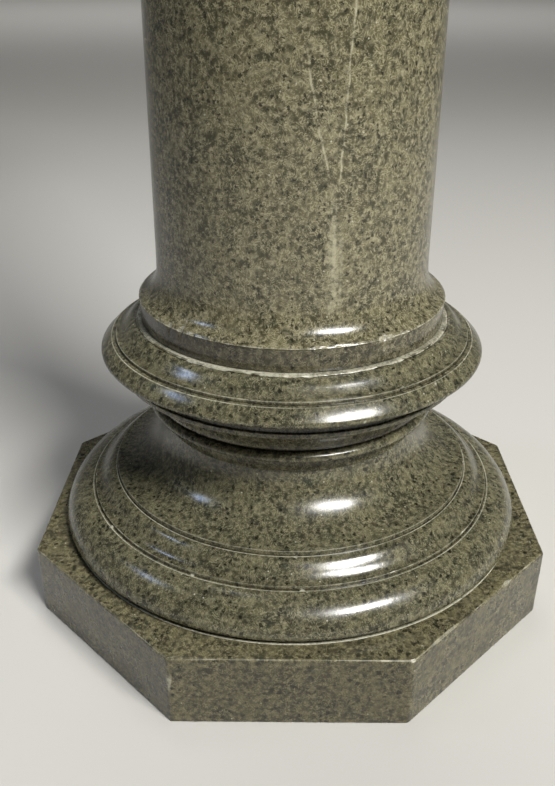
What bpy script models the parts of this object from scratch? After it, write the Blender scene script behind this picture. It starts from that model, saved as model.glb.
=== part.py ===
"""Serpentine pedestal column: an octagonal plinth, a turned base and collar, a tapering shaft,
a turned capital and an octagonal top slab, stacked dry on one vertical axis.

Lengths are in metres, +Z is up, and the origin is the middle of the plinth's underside.
A turned outline is a list of (radius, height) points that climbs from the piece's foot.
"""
from math import cos, pi, radians, sin

import bmesh
import bpy
from mathutils import Matrix, Vector

# Stacking and turning
JOINT_GAP = 0.0003
TURNING_STEPS = 38
SMOOTH_ANGLE = radians(26)
BROAD_CURVE_STEPS = 8
NARROW_CURVE_STEPS = 6

# Where a curve starts or stops short of a quarter, in degrees from straight outward, turning upward
OVOLO_FOOT_ANGLE = 14
OVOLO_TOP_ANGLE = 82
CAPITAL_OVOLO_FOOT_ANGLE = 285
BEAD_TOP_ANGLE = 80
CAVETTO_TOP_ANGLE = 98
FLARE_FOOT_ANGLE = 262
NOSING_TOP_ANGLE = 40

# Octagonal plinth
PLINTH_ACROSS_FLATS = 0.300
PLINTH_HEIGHT = 0.0447
OCTAGON_SIDES = 8
BLOCK_ARRIS = 0.0015
BLOCK_ARRIS_STEPS = 2

# Base: foot fillet, ovolo with a tighter nose below, fillet, ogee, fillet and bell
BASE_SETBACK = 0.0085
BASE_FOOT_TUCK = 0.0035
BASE_FOOT_HEIGHT = 0.0022
BASE_NOSE_RADIUS = 0.0030
BASE_OVOLO_RADIUS = 0.0209
BASE_FILLET_STEP = 0.0014
BASE_FILLET_HEIGHT = 0.0019
BASE_OGEE_WIDTH = 0.0136
BASE_OGEE_HEIGHT = 0.0088
BELL_FILLET_STEP = 0.0008
BELL_FILLET_HEIGHT = 0.0027
BELL_WIDTH = 0.0325
BELL_HEIGHT = 0.0296

# Collar: neck fillet, bead, quirk, cavetto, fillet, recess, nosing, fillet, ogee and ledge
NECK_FILLET_STEP = 0.0015
NECK_FILLET_HEIGHT = 0.0097
BEAD_OVERHANG = 0.0081
BEAD_FOOT_RADIUS = 0.0017
BEAD_TOP_WIDTH = 0.0045
BEAD_TOP_HEIGHT = 0.0038
QUIRK_DEPTH = 0.0007
QUIRK_HEIGHT = 0.0020
QUIRK_OVERHANG = 0.0031
CAVETTO_WIDTH = 0.0156
CAVETTO_HEIGHT = 0.0166
COLLAR_FILLET_STEP = 0.0010
COLLAR_FILLET_HEIGHT = 0.0026
RECESS_DEPTH = 0.0018
RECESS_HEIGHT = 0.0054
NOSING_SOFFIT_RISE = 0.0027
NOSING_OVERHANG = 0.0103
NOSING_RADIUS = 0.0022
NOSING_TOP_WIDTH = 0.0063
NOSING_TOP_HEIGHT = 0.0069
NOSING_SHOULDER_DROP = 0.0010
UPPER_FILLET_STEP = 0.0025
UPPER_FILLET_HEIGHT = 0.0018
COLLAR_OGEE_WIDTH = 0.0121
COLLAR_OGEE_HEIGHT = 0.0078
LEDGE_HEIGHT = 0.0004

# Shaft: foot band, lip, flare, tapering body, head flare and head band
SHAFT_HEIGHT = 0.7908
FOOT_BAND_SETBACK = 0.0030
FOOT_BAND_HEIGHT = 0.0125
LIP_OVERHANG = 0.0006
LIP_HEIGHT = 0.0014
FOOT_FLARE_WIDTH = 0.0112
FOOT_FLARE_HEIGHT = 0.0160
SHAFT_DIMINUTION = 0.0062
HEAD_FLARE_WIDTH = 0.0070
HEAD_FLARE_HEIGHT = 0.0110
HEAD_BAND_HEIGHT = 0.0070

# Capital: foot bead, neck, cavetto, fillet and ovolo
CAPITAL_BEAD_RADIUS = 0.0050
CAPITAL_NECK_SETBACK = 0.0045
CAPITAL_NECK_HEIGHT = 0.0080
CAPITAL_CAVETTO_WIDTH = 0.0280
CAPITAL_CAVETTO_HEIGHT = 0.0250
CAPITAL_FILLET_STEP = 0.0012
CAPITAL_FILLET_HEIGHT = 0.0036
CAPITAL_OVOLO_WIDTH = 0.0180
CAPITAL_OVOLO_HEIGHT = 0.0185

# Octagonal top slab
SLAB_OVERHANG = 0.0095
SLAB_HEIGHT = 0.0400

# Colours in linear light
POLISHED_GREEN = (0.093, 0.088, 0.060, 1.0)
SHADED_GREEN = (0.075, 0.072, 0.048, 1.0)


def clear_scene():
    for item in list(bpy.data.objects):
        bpy.data.objects.remove(item)


def stone(name, colour, roughness):
    material = bpy.data.materials.new(name)
    material.use_nodes = True
    shader = material.node_tree.nodes["Principled BSDF"]
    shader.inputs["Base Color"].default_value = colour
    shader.inputs["Roughness"].default_value = roughness
    shader.inputs["Metallic"].default_value = 0.0
    material.diffuse_color = colour
    return material


def arc(centre, radius_across, radius_up, start, end, steps):
    """Points on an ellipse's arc; angles in degrees from straight outward, turning upward."""
    points = []
    for step in range(steps + 1):
        angle = radians(start + (end - start) * step / steps)
        points.append((centre[0] + radius_across * cos(angle), centre[1] + radius_up * sin(angle)))
    return points


def curve(start, start_pull, end_pull, end, steps):
    """Points on the cubic curve that leaves start towards start_pull and reaches end from end_pull."""
    points = []
    for step in range(steps + 1):
        t = step / steps
        weights = ((1 - t) ** 3, 3 * t * (1 - t) ** 2, 3 * t ** 2 * (1 - t), t ** 3)
        corners = (start, start_pull, end_pull, end)
        points.append(tuple(sum(w * p[axis] for w, p in zip(weights, corners)) for axis in (0, 1)))
    return points


def ogee(foot, width, height):
    """An S that lies flat at its foot, steepens, and lies flat again at its inner top edge."""
    radius, level = foot
    top = level + height
    middle = radius - width / 2
    return curve(foot, (middle, level), (middle, top), (radius - width, top), BROAD_CURVE_STEPS)


def base_outline():
    """The turned base, from the joint on the plinth to the narrow neck."""
    tip = PLINTH_ACROSS_FLATS / 2 - BASE_SETBACK
    foot = tip - BASE_FOOT_TUCK
    nose = (tip - BASE_NOSE_RADIUS, BASE_FOOT_HEIGHT + BASE_NOSE_RADIUS)
    inward = BASE_OVOLO_RADIUS - BASE_NOSE_RADIUS
    angle = radians(OVOLO_FOOT_ANGLE)
    centre = (nose[0] - inward * cos(angle), nose[1] - inward * sin(angle))
    points = [(foot, 0.0), (foot, BASE_FOOT_HEIGHT)]
    points += arc(nose, BASE_NOSE_RADIUS, BASE_NOSE_RADIUS, -90, OVOLO_FOOT_ANGLE, NARROW_CURVE_STEPS)
    points += arc(centre, BASE_OVOLO_RADIUS, BASE_OVOLO_RADIUS, OVOLO_FOOT_ANGLE, OVOLO_TOP_ANGLE,
                  BROAD_CURVE_STEPS)[1:]
    arris, level = points[-1]
    fillet = arris - BASE_FILLET_STEP
    points += [(fillet, level)]
    points += ogee((fillet, level + BASE_FILLET_HEIGHT), BASE_OGEE_WIDTH, BASE_OGEE_HEIGHT)
    arris, level = points[-1]
    bell = arris - BELL_FILLET_STEP
    points += [(bell, level)]
    level += BELL_FILLET_HEIGHT + BELL_HEIGHT
    return points + arc((bell, level), BELL_WIDTH, BELL_HEIGHT, 270, 180, BROAD_CURVE_STEPS)


def nosing(fillet, level):
    """The collar's projecting rounded edge, from the recess under it to the arris above it."""
    root = fillet - RECESS_DEPTH
    tip = fillet + NOSING_OVERHANG
    soffit = level + RECESS_HEIGHT
    centre = (tip - NOSING_RADIUS, soffit + NOSING_SOFFIT_RISE + NOSING_RADIUS)
    edge = arc(centre, NOSING_RADIUS, NOSING_RADIUS, -90, NOSING_TOP_ANGLE, NARROW_CURVE_STEPS)
    arris = (tip - NOSING_TOP_WIDTH, centre[1] + NOSING_TOP_HEIGHT)
    shoulder = ((edge[-1][0] + arris[0]) / 2, arris[1] - NOSING_SHOULDER_DROP)
    return [(root, level), (root, soffit)] + edge + [shoulder, arris]


def bead(root, level):
    """The collar's bead: tight below, broader above, and overhanging the neck fillet."""
    tip = root + BEAD_OVERHANG
    level += BEAD_FOOT_RADIUS
    below = arc((tip - BEAD_FOOT_RADIUS, level), BEAD_FOOT_RADIUS, BEAD_FOOT_RADIUS, -90, 0,
                NARROW_CURVE_STEPS)
    above = arc((tip - BEAD_TOP_WIDTH, level), BEAD_TOP_WIDTH, BEAD_TOP_HEIGHT, 0, BEAD_TOP_ANGLE,
                NARROW_CURVE_STEPS)
    return below + above[1:]


def collar_outline(neck):
    """The turned collar, from the joint on the bell's neck to the ledge that carries the shaft."""
    fillet = neck + NECK_FILLET_STEP
    points = [(fillet, 0.0), (fillet, NECK_FILLET_HEIGHT)] + bead(fillet, NECK_FILLET_HEIGHT)
    arris, level = points[-1]
    quirk = arris - QUIRK_DEPTH
    points += [(quirk, level), (quirk, level + QUIRK_HEIGHT)]
    rim = quirk + QUIRK_OVERHANG + CAVETTO_WIDTH
    level += QUIRK_HEIGHT
    points += arc((rim, level), CAVETTO_WIDTH, CAVETTO_HEIGHT, 180, CAVETTO_TOP_ANGLE, NARROW_CURVE_STEPS)
    fillet = rim + COLLAR_FILLET_STEP
    level += CAVETTO_HEIGHT
    points += [(fillet, level), (fillet, level + COLLAR_FILLET_HEIGHT)]
    points += nosing(fillet, level + COLLAR_FILLET_HEIGHT)
    arris, level = points[-1]
    fillet = arris - UPPER_FILLET_STEP
    points += [(fillet, level)]
    swell = ogee((fillet, level + UPPER_FILLET_HEIGHT), COLLAR_OGEE_WIDTH, COLLAR_OGEE_HEIGHT)
    ledge, level = swell[-1]
    return points + swell + [(ledge, level + LEDGE_HEIGHT)]


def shaft_outline(ledge):
    """The shaft, from its foot band on the ledge to its head band."""
    band = ledge - FOOT_BAND_SETBACK
    lip = band + LIP_OVERHANG
    level = FOOT_BAND_HEIGHT + LIP_HEIGHT
    body = lip - FOOT_FLARE_WIDTH
    points = [(band, 0.0), (band, FOOT_BAND_HEIGHT), (lip, FOOT_BAND_HEIGHT)]
    points += arc((lip, level + FOOT_FLARE_HEIGHT), FOOT_FLARE_WIDTH, FOOT_FLARE_HEIGHT,
                  FLARE_FOOT_ANGLE, 180, NARROW_CURVE_STEPS)
    head = body - SHAFT_DIMINUTION
    rim = head + HEAD_FLARE_WIDTH
    level = SHAFT_HEIGHT - HEAD_BAND_HEIGHT
    points += arc((rim, level - HEAD_FLARE_HEIGHT), HEAD_FLARE_WIDTH, HEAD_FLARE_HEIGHT,
                  180, CAVETTO_TOP_ANGLE, NARROW_CURVE_STEPS)
    return points + [(rim, level), (rim, SHAFT_HEIGHT)]


def capital_outline(head):
    """The turned capital, from the joint on the shaft's head band to its flat bed."""
    points = arc((head, CAPITAL_BEAD_RADIUS), CAPITAL_BEAD_RADIUS, CAPITAL_BEAD_RADIUS, -90, 90,
                 NARROW_CURVE_STEPS)
    neck = head - CAPITAL_NECK_SETBACK
    level = 2 * CAPITAL_BEAD_RADIUS
    points += [(neck, level)]
    level += CAPITAL_NECK_HEIGHT
    rim = neck + CAPITAL_CAVETTO_WIDTH
    points += arc((rim, level), CAPITAL_CAVETTO_WIDTH, CAPITAL_CAVETTO_HEIGHT,
                  180, CAVETTO_TOP_ANGLE, NARROW_CURVE_STEPS)
    level += CAPITAL_CAVETTO_HEIGHT
    fillet = rim + CAPITAL_FILLET_STEP
    points += [(fillet, level), (fillet, level + CAPITAL_FILLET_HEIGHT)]
    level += CAPITAL_FILLET_HEIGHT + CAPITAL_OVOLO_HEIGHT
    return points + arc((fillet, level), CAPITAL_OVOLO_WIDTH, CAPITAL_OVOLO_HEIGHT,
                        CAPITAL_OVOLO_FOOT_ANGLE, 360, NARROW_CURVE_STEPS)


def link(name, mesh, material, level):
    item = bpy.data.objects.new(name, mesh)
    bpy.context.collection.objects.link(item)
    item.location = (0.0, 0.0, level)
    mesh.materials.append(material)
    return item


def turned(name, outline, material, level):
    """One closed solid: the outline spun about the vertical axis, with a flat disc at each end."""
    mesh_edit = bmesh.new()
    corners = [mesh_edit.verts.new((radius, 0.0, height)) for radius, height in outline]
    edges = [mesh_edit.edges.new(pair) for pair in zip(corners, corners[1:])]
    bmesh.ops.spin(mesh_edit, geom=corners + edges, axis=Vector((0, 0, 1)), cent=Vector(),
                   angle=2 * pi, steps=TURNING_STEPS, use_merge=True)
    bmesh.ops.holes_fill(mesh_edit, edges=mesh_edit.edges, sides=0)
    bmesh.ops.recalc_face_normals(mesh_edit, faces=mesh_edit.faces)
    mesh = bpy.data.meshes.new(name)
    mesh_edit.to_mesh(mesh)
    mesh_edit.free()
    mesh.shade_smooth()
    mesh.set_sharp_from_angle(angle=SMOOTH_ANGLE)
    return link(name, mesh, material, level)


def octagonal_block(name, across_flats, height, material, level):
    """One closed solid: an octagon with a flat facing -Y, raised and with its arrises eased."""
    mesh_edit = bmesh.new()
    half_side_angle = pi / OCTAGON_SIDES
    bmesh.ops.create_circle(mesh_edit, cap_ends=True, segments=OCTAGON_SIDES,
                            radius=across_flats / 2 / cos(half_side_angle),
                            matrix=Matrix.Rotation(half_side_angle, 4, "Z"))
    raised = bmesh.ops.extrude_face_region(mesh_edit, geom=mesh_edit.faces)
    lid = [part for part in raised["geom"] if isinstance(part, bmesh.types.BMVert)]
    bmesh.ops.translate(mesh_edit, verts=lid, vec=(0.0, 0.0, height))
    bmesh.ops.recalc_face_normals(mesh_edit, faces=mesh_edit.faces)
    bmesh.ops.bevel(mesh_edit, geom=mesh_edit.edges, offset=BLOCK_ARRIS, segments=BLOCK_ARRIS_STEPS,
                    affect="EDGES")
    mesh = bpy.data.meshes.new(name)
    mesh_edit.to_mesh(mesh)
    mesh_edit.free()
    return link(name, mesh, material, level)


def main():
    clear_scene()
    block_stone = stone("serpentine_block", POLISHED_GREEN, 0.30)
    base_stone = stone("serpentine_base", SHADED_GREEN, 0.22)
    collar_stone = stone("serpentine_collar", SHADED_GREEN, 0.20)
    shaft_stone = stone("serpentine_shaft", POLISHED_GREEN, 0.20)
    capital_stone = stone("serpentine_capital", SHADED_GREEN, 0.22)
    slab_stone = stone("serpentine_slab", POLISHED_GREEN, 0.25)

    octagonal_block("plinth", PLINTH_ACROSS_FLATS, PLINTH_HEIGHT, block_stone, 0.0)
    level = PLINTH_HEIGHT + JOINT_GAP

    base = base_outline()
    turned("base", base, base_stone, level)
    neck, height = base[-1]
    level += height + JOINT_GAP

    collar = collar_outline(neck)
    turned("collar", collar, collar_stone, level)
    ledge, height = collar[-1]
    level += height + JOINT_GAP

    shaft = shaft_outline(ledge)
    turned("shaft", shaft, shaft_stone, level)
    head, height = shaft[-1]
    level += height + JOINT_GAP

    capital = capital_outline(head)
    turned("capital", capital, capital_stone, level)
    bed, height = capital[-1]
    level += height + JOINT_GAP

    octagonal_block("top_slab", 2 * (bed + SLAB_OVERHANG), SLAB_HEIGHT, slab_stone, level)


main()
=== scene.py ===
"""The looks of a polished serpentine pedestal column: its turned and octagonal stones as fine surfaces,
with their chipped arrises, the stone's figure and polish, a pale floor, soft lights and the camera."""
from functools import partial
from math import cos, pi, radians, sin

import bpy
import numpy as np
from mathutils import Matrix, Vector


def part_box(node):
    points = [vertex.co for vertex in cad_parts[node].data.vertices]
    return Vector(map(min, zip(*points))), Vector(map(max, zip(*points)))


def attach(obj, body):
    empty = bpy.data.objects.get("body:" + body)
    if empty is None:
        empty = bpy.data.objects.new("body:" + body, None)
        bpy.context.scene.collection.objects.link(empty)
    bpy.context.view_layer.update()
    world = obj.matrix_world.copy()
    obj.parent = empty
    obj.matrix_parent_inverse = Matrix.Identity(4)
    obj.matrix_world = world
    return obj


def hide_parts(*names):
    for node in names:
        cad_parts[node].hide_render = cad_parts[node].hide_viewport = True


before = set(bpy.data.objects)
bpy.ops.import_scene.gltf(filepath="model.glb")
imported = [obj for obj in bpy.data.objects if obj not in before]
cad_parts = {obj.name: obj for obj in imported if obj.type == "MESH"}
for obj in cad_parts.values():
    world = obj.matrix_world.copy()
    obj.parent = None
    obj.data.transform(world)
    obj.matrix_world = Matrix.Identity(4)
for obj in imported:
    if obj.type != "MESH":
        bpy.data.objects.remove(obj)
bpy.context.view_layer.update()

# Outlines below are in millimetres, as (radius, height above the piece's foot), and climb from the foot
MM = 0.001
ARC_POINTS = 60
OUTLINE_STEP = 0.1
ARRIS_EASE = 0.24

# Rows of a surface: a share for straight runs, one for turns up to the sharpest, in radians per mm, and
# fixed distances either side of each arris
STRAIGHT_SHARE = 0.2
TURN_SHARE = 6.0
SHARPEST_TURN = 3.0
ARRIS_ROWS = np.array((-2.4, -1.2, -0.5, -0.25, 0.0, 0.25, 0.5, 1.2, 2.4))

# Grids: columns round each piece and rows up its outline, before the rows that its arrises add
PLINTH_GRID = (900, 90)
BASE_GRID = (700, 100)
COLLAR_GRID = (660, 96)
SHAFT_GRID = (800, 100)
CAPITAL_GRID = (600, 90)
SLAB_GRID = (720, 60)

# Wear and painted highlight: half the width of a pale line along an arris, partly rubbed wear and partly a
# painted highlight; the slope of a chip's facet, the coarse part of its raggedness, the depths at which a
# chip and a knock are fully pale, and a knock's paleness, waves round it and downward share
RUBBED_SHEEN_LINE = 0.17
CHIP_SLOPE = 0.7
COARSE_SHARE = 0.62
FRESH_CHIP = 0.35
FRESH_KNOCK = 0.25
KNOCK_PALENESS = 0.8
KNOCK_WAVES = 9
KNOCK_DROP = 0.8

# Painted shade: how dark a hollow turn is painted for each radian per mm, and at most; none of the painted
# dirt and shade inside the hidden core of the bed faces
HOLLOW_SHADE = 0.8
HOLLOW_SHADE_MOST = 0.7
HIDDEN_CORE = 60.0

# Octagonal blocks
OCTAGON_SIDES = 8
CORNER_AZIMUTH = 22.5
CORNER_EASE = 0.8
BLOCK_ARRIS = 1.3

# Hollows stop this many degrees short of level at their lip
HOLLOW_SHY = 8

# Base: foot with its bedding squeezed out round it, ovolo with a tighter nose below, fillet, ogee, fillet
# and bell; pairs are (width, height)
BEDDING = (2.0, 0.35)
BEDDING_DROP = 0.2
FOOT_TUCK = 3.5
FOOT_HEIGHT = 2.2
NOSE_RADIUS = 3.0
OVOLO_RADIUS = 20.9
OVOLO_FOOT_ANGLE = 14
OVOLO_TOP_ANGLE = 82
OVOLO_FILLET = (1.4, 1.9)
BASE_OGEE = (13.6, 8.8)
BELL_FILLET = (0.8, 2.7)
BELL = (32.5, 29.6)

# Collar: neck fillet, bead, quirk, cavetto, fillet, recess, nosing, fillet, ogee and ledge
NECK_FILLET = (1.5, 9.7)
BEAD_OVERHANG = 8.1
BEAD_FOOT_RADIUS = 1.7
BEAD_TOP = (4.5, 3.8)
BEAD_TOP_ANGLE = 80
QUIRK = (0.7, 2.0)
QUIRK_OVERHANG = 3.1
CAVETTO = (15.6, 16.6)
COLLAR_FILLET = (1.0, 2.6)
RECESS = (1.8, 5.4)
SOFFIT_RISE = 2.7
NOSING_OVERHANG = 10.3
NOSING_RADIUS = 2.2
NOSING_EDGE_ANGLE = 40
NOSING_PULL = 2.4
NOSING_TOP = (6.3, 6.9)
UPPER_FILLET = (2.5, 1.8)
COLLAR_OGEE = (12.1, 7.8)
LEDGE_HEIGHT = 0.4

# Shaft: foot band, lip, flare, head flare and head band
FOOT_BAND_SETBACK = 3.0
FOOT_BAND_HEIGHT = 12.5
LIP_OVERHANG = 0.6
LIP_HEIGHT = 1.4
FOOT_FLARE = (11.2, 16.0)
DIMINUTION = 6.2
HEAD_FLARE = (7.0, 11.0)
HEAD_BAND_HEIGHT = 7.0

# Capital: bead, neck, cavetto, fillet and ovolo
CAPITAL_BEAD_RADIUS = 5.0
CAPITAL_NECK_SETBACK = 4.5
CAPITAL_NECK_HEIGHT = 8.0
CAPITAL_CAVETTO = (28.0, 25.0)
CAPITAL_FILLET_STEP = 1.2
CAPITAL_FILLET_HEIGHT = 3.6
CAPITAL_OVOLO = (18.0, 18.5)
CAPITAL_OVOLO_ANGLE = 285

# The stone's figure: sizes across or apart, in millimetres
MOTTLE_SIZE = 3
CLOUD_SIZE = 12
FELT_SIZE = 4
STAIN_SIZE = 5
BLADE_SPACE = 1.5
BLADE_PATCH = 6
BLADE_WAVE = 4
BLADE_WAVE_REACH = 9.0
THREAD_SPACE = 4.5
GRAIN_RAG_SIZE = 1.6
GRAIN_RAG_REACH = 3.2
GRAIN_CROWD_SIZE = 15
FLECK_SPACE = 8
CRUMB_SIZE = 1.6
HAZE_SIZE = 18
PIT_DEPTH = 0.15

# Veins in the shaft: azimuth right of the front at their foot, its change in degrees over 100 mm up,
# lowest and highest level, half thickness, strength; the rest is common to all veins
SHAFT_VEINS = ((12.6, -15, 262, 330, 0.75, 0.9), (15.8, 5, 258, 420, 0.75, 0.8),
               (14.5, 0, 196, 262, 4.2, 0.4), (13.5, 4, 196, 262, 1.6, 0.4), (17.6, 0, 196, 250, 1.3, 0.35))
VEIN_SHAFT_RADIUS = 76.0
VEIN_LEAN_RUN = 100
VEIN_WAVE = 26
VEIN_WAVE_REACH = 3.5
VEIN_RISE = 12
VEIN_FALL = 25

# Studio, in metres: level floor, cove and backdrop, and the lights that wash the backdrop
FLOOR_SIDES = 128
FLOOR_RINGS = (0.5, 3.0)
FLOOR_RADIUS = 9.0
COVE_RADIUS = 2.0
BACKDROP_HEIGHT = 6.0
LIGHT_AIM = (0.0, 0.0, 0.12)
WHITE = (1.0, 1.0, 1.0)
BACKDROP_LIGHTS = (("back", 0, 150), ("left", 90, 80), ("front", 180, 80), ("right", 270, 80))
BACKDROP_AIM_OUT = 8.0
BACKDROP_AIM_UP = 0.6

# Camera, worked out from the plinth's corners and the mouldings' rings in the photo; x is to the right
# and y down from the photo's top left corner
PHOTO_WIDTH_PX = 555
PHOTO_HEIGHT_PX = 786
OPTICAL_AXIS_X_PX = 282.5
OPTICAL_AXIS_Y_PX = 406.0
FOCAL_LENGTH_PX = 847.1
SENSOR_HEIGHT = 36.0
CAMERA_PLACE = (-3.6, -463.7, 356.4)
CAMERA_YAW = -0.0032
CAMERA_PITCH = 0.4908
CAMERA_ROLL = 0.0050


# Outlines

def arc(centre, across, up, start, end):
    """Ellipse's arc: centre + (across * cos t, up * sin t), t in degrees from outward, turning upward."""
    t = np.radians(np.linspace(start, end, ARC_POINTS))
    return np.stack([centre[0] + across * np.cos(t), centre[1] + up * np.sin(t)], axis=1)


def ogee(foot, size):
    """Cubic Bezier S: flat at its foot, steep half way, flat at its top edge; size is (width, height)."""
    t = np.linspace(0.0, 1.0, ARC_POINTS)[:, None]
    foot = np.array(foot)
    top = foot + (-size[0], size[1])
    pull_low = np.array([(foot[0] + top[0]) / 2, foot[1]])
    pull_high = np.array([pull_low[0], top[1]])
    ends = (1 - t) ** 3 * foot + t ** 3 * top
    return ends + 3 * t * (1 - t) ** 2 * pull_low + 3 * t ** 2 * (1 - t) * pull_high


def base_outline(tip):
    """Turned base: a thin lip of bedding, a tucked foot, a small nose arc that runs on into the ovolo's broad
    arc, a fillet, an ogee, a fillet and a hollow bell."""
    turn = radians(OVOLO_FOOT_ANGLE)
    nose = np.array([tip - NOSE_RADIUS, FOOT_HEIGHT + NOSE_RADIUS])
    centre = nose - (OVOLO_RADIUS - NOSE_RADIUS) * np.array([cos(turn), sin(turn)])
    ovolo = np.vstack([arc(nose, NOSE_RADIUS, NOSE_RADIUS, -90, OVOLO_FOOT_ANGLE),
                       arc(centre, OVOLO_RADIUS, OVOLO_RADIUS, OVOLO_FOOT_ANGLE, OVOLO_TOP_ANGLE)])
    arris = ovolo[-1]
    fillet = arris[0] - OVOLO_FILLET[0]
    swell = ogee((fillet, arris[1] + OVOLO_FILLET[1]), BASE_OGEE)
    bell_foot = swell[-1] + (-BELL_FILLET[0], BELL_FILLET[1])
    bell = arc((bell_foot[0], bell_foot[1] + BELL[1]), *BELL, 270, 180)
    foot = tip - FOOT_TUCK
    lip = foot + BEDDING[0]
    line = [(lip, -BEDDING_DROP), (lip, BEDDING[1]), (foot, BEDDING[1]), (foot, FOOT_HEIGHT), ovolo,
            (fillet, arris[1]), swell, (bell_foot[0], swell[-1][1]), bell]
    arrises = {"bedding": (lip, BEDDING[1]), "ovolo": arris, "fillet": swell[0], "ogee": swell[-1],
               "bell": bell_foot}
    return line, arrises


def nosing(fillet, level):
    """The collar's projecting edge: a soffit, an arc round to its top slope, then a shallow curve inward."""
    soffit = level + RECESS[1]
    tip = fillet + NOSING_OVERHANG
    centre = np.array([tip - NOSING_RADIUS, soffit + SOFFIT_RISE + NOSING_RADIUS])
    edge = arc(centre, NOSING_RADIUS, NOSING_RADIUS, -90, NOSING_EDGE_ANGLE)
    arris = np.array([tip - NOSING_TOP[0], centre[1] + NOSING_TOP[1]])
    t = np.linspace(0.0, 1.0, ARC_POINTS // 2)[1:, None]
    leaving = edge[-1] + (edge[-1] - edge[-2]) / np.linalg.norm(edge[-1] - edge[-2]) * NOSING_PULL
    return np.vstack([[(fillet - RECESS[0], soffit)], edge,
                      (1 - t) ** 2 * edge[-1] + 2 * t * (1 - t) * leaving + t ** 2 * arris])


def collar_outline(neck):
    """Turned collar: fillet, bead, quirk, cavetto, fillet, recess, nosing, fillet, ogee and ledge.

    The bead is a small quarter circle below and a quarter ellipse above."""
    fillet = neck + NECK_FILLET[0]
    tip = fillet + BEAD_OVERHANG
    widest = NECK_FILLET[1] + BEAD_FOOT_RADIUS
    bead = np.vstack([arc((tip - BEAD_FOOT_RADIUS, widest), BEAD_FOOT_RADIUS, BEAD_FOOT_RADIUS, -90, 0),
                      arc((tip - BEAD_TOP[0], widest), *BEAD_TOP, 0, BEAD_TOP_ANGLE)])
    quirk = bead[-1] - (QUIRK[0], 0)
    rim = quirk[0] + QUIRK_OVERHANG + CAVETTO[0]
    hollow_foot = quirk[1] + QUIRK[1]
    cavetto = arc((rim, hollow_foot), *CAVETTO, 180, 90 + HOLLOW_SHY)
    rim += COLLAR_FILLET[0]
    low, high = hollow_foot + CAVETTO[1], hollow_foot + CAVETTO[1] + COLLAR_FILLET[1]
    edge = nosing(rim, high)
    upper = edge[-1] + (-UPPER_FILLET[0], UPPER_FILLET[1])
    swell = ogee(upper, COLLAR_OGEE)
    ledge = swell[-1] + (0, LEDGE_HEIGHT)
    line = [(fillet, 0), (fillet, NECK_FILLET[1]), bead, quirk, (quirk[0], hollow_foot), cavetto, (rim, low),
            (rim, high), (rim - RECESS[0], high), edge, (upper[0], edge[-1][1]), swell, ledge]
    arrises = {"neck": (fillet, NECK_FILLET[1]), "bead": bead[-1], "cavetto": cavetto[0], "rim": (rim, low),
               "rim top": (rim, high), "nosing": edge[-1], "upper": upper, "ledge": ledge}
    return line, arrises


def shaft_outline(ledge, height):
    """Turned shaft: foot band, lip, hollow flare, a straight tapering body, a small flare and a head band."""
    band = ledge - FOOT_BAND_SETBACK
    lip = band + LIP_OVERHANG
    level = FOOT_BAND_HEIGHT + LIP_HEIGHT
    body = lip - FOOT_FLARE[0]
    flare = arc((lip, level + FOOT_FLARE[1]), *FOOT_FLARE, 270 - HOLLOW_SHY, 180)
    rim = body - DIMINUTION + HEAD_FLARE[0]
    head = height - HEAD_BAND_HEIGHT
    head_flare = arc((rim, head - HEAD_FLARE[1]), *HEAD_FLARE, 180, 90 + HOLLOW_SHY)
    line = [(band, 0), (band, FOOT_BAND_HEIGHT), (lip, FOOT_BAND_HEIGHT), flare, head_flare,
            (rim, head), (rim, height)]
    return line, {"lip": (lip, FOOT_BAND_HEIGHT + LIP_HEIGHT / 2)}


def capital_outline(head):
    """Turned capital: half-round bead, neck, cavetto, fillet and ovolo under the slab."""
    bead = arc((head, CAPITAL_BEAD_RADIUS), CAPITAL_BEAD_RADIUS, CAPITAL_BEAD_RADIUS, -90, 90)
    neck = head - CAPITAL_NECK_SETBACK
    rim = neck + CAPITAL_CAVETTO[0]
    level = 2 * CAPITAL_BEAD_RADIUS + CAPITAL_NECK_HEIGHT
    cavetto = arc((rim, level), *CAPITAL_CAVETTO, 180, 90 + HOLLOW_SHY)
    fillet = rim + CAPITAL_FILLET_STEP
    level += CAPITAL_CAVETTO[1]
    top = level + CAPITAL_FILLET_HEIGHT + CAPITAL_OVOLO[1]
    ovolo = arc((fillet, top), *CAPITAL_OVOLO, CAPITAL_OVOLO_ANGLE, 360)
    line = [bead, (neck, 2 * CAPITAL_BEAD_RADIUS), cavetto, (fillet, level),
            (fillet, level + CAPITAL_FILLET_HEIGHT), ovolo]
    return line, {"bed": ovolo[-1]}


def block_outline(apothem, height):
    """Octagonal block: its flats' distance from the axis up its height, with the two arrises rounded."""
    foot = arc((apothem - BLOCK_ARRIS, BLOCK_ARRIS), BLOCK_ARRIS, BLOCK_ARRIS, -90, 0)
    top = arc((apothem - BLOCK_ARRIS, height - BLOCK_ARRIS), BLOCK_ARRIS, BLOCK_ARRIS, 0, 90)
    return [foot, top], {"foot": foot[ARC_POINTS // 2], "top": top[ARC_POINTS // 2]}


# Surfaces

def evenly(line, step):
    """The same line with points a fixed step apart along it."""
    along = np.concatenate([[0.0], np.cumsum(np.hypot(*np.diff(line, axis=0).T))])
    places = np.linspace(0.0, along[-1], int(along[-1] / step) + 1)
    return np.stack([np.interp(places, along, line[:, axis]) for axis in (0, 1)], axis=1)


def bell_curve(reach, step, width):
    """Weights for a mean of the neighbours up to reach steps away: a bell curve of that width, sum 1."""
    weights = np.exp(-0.5 * (np.arange(-reach, reach + 1) * step / width) ** 2)
    return weights / weights.sum()


def eased(line, step, ease):
    """Every point becomes its neighbours' mean under a bell curve of width ease, which rounds the arrises."""
    reach = int(round(4 * ease / step))
    weights = bell_curve(reach, step, ease)
    padded = np.pad(line, ((reach, reach), (0, 0)), mode="reflect", reflect_type="odd")
    return np.stack([np.convolve(padded[:, axis], weights, mode="valid") for axis in (0, 1)], axis=1)


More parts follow.
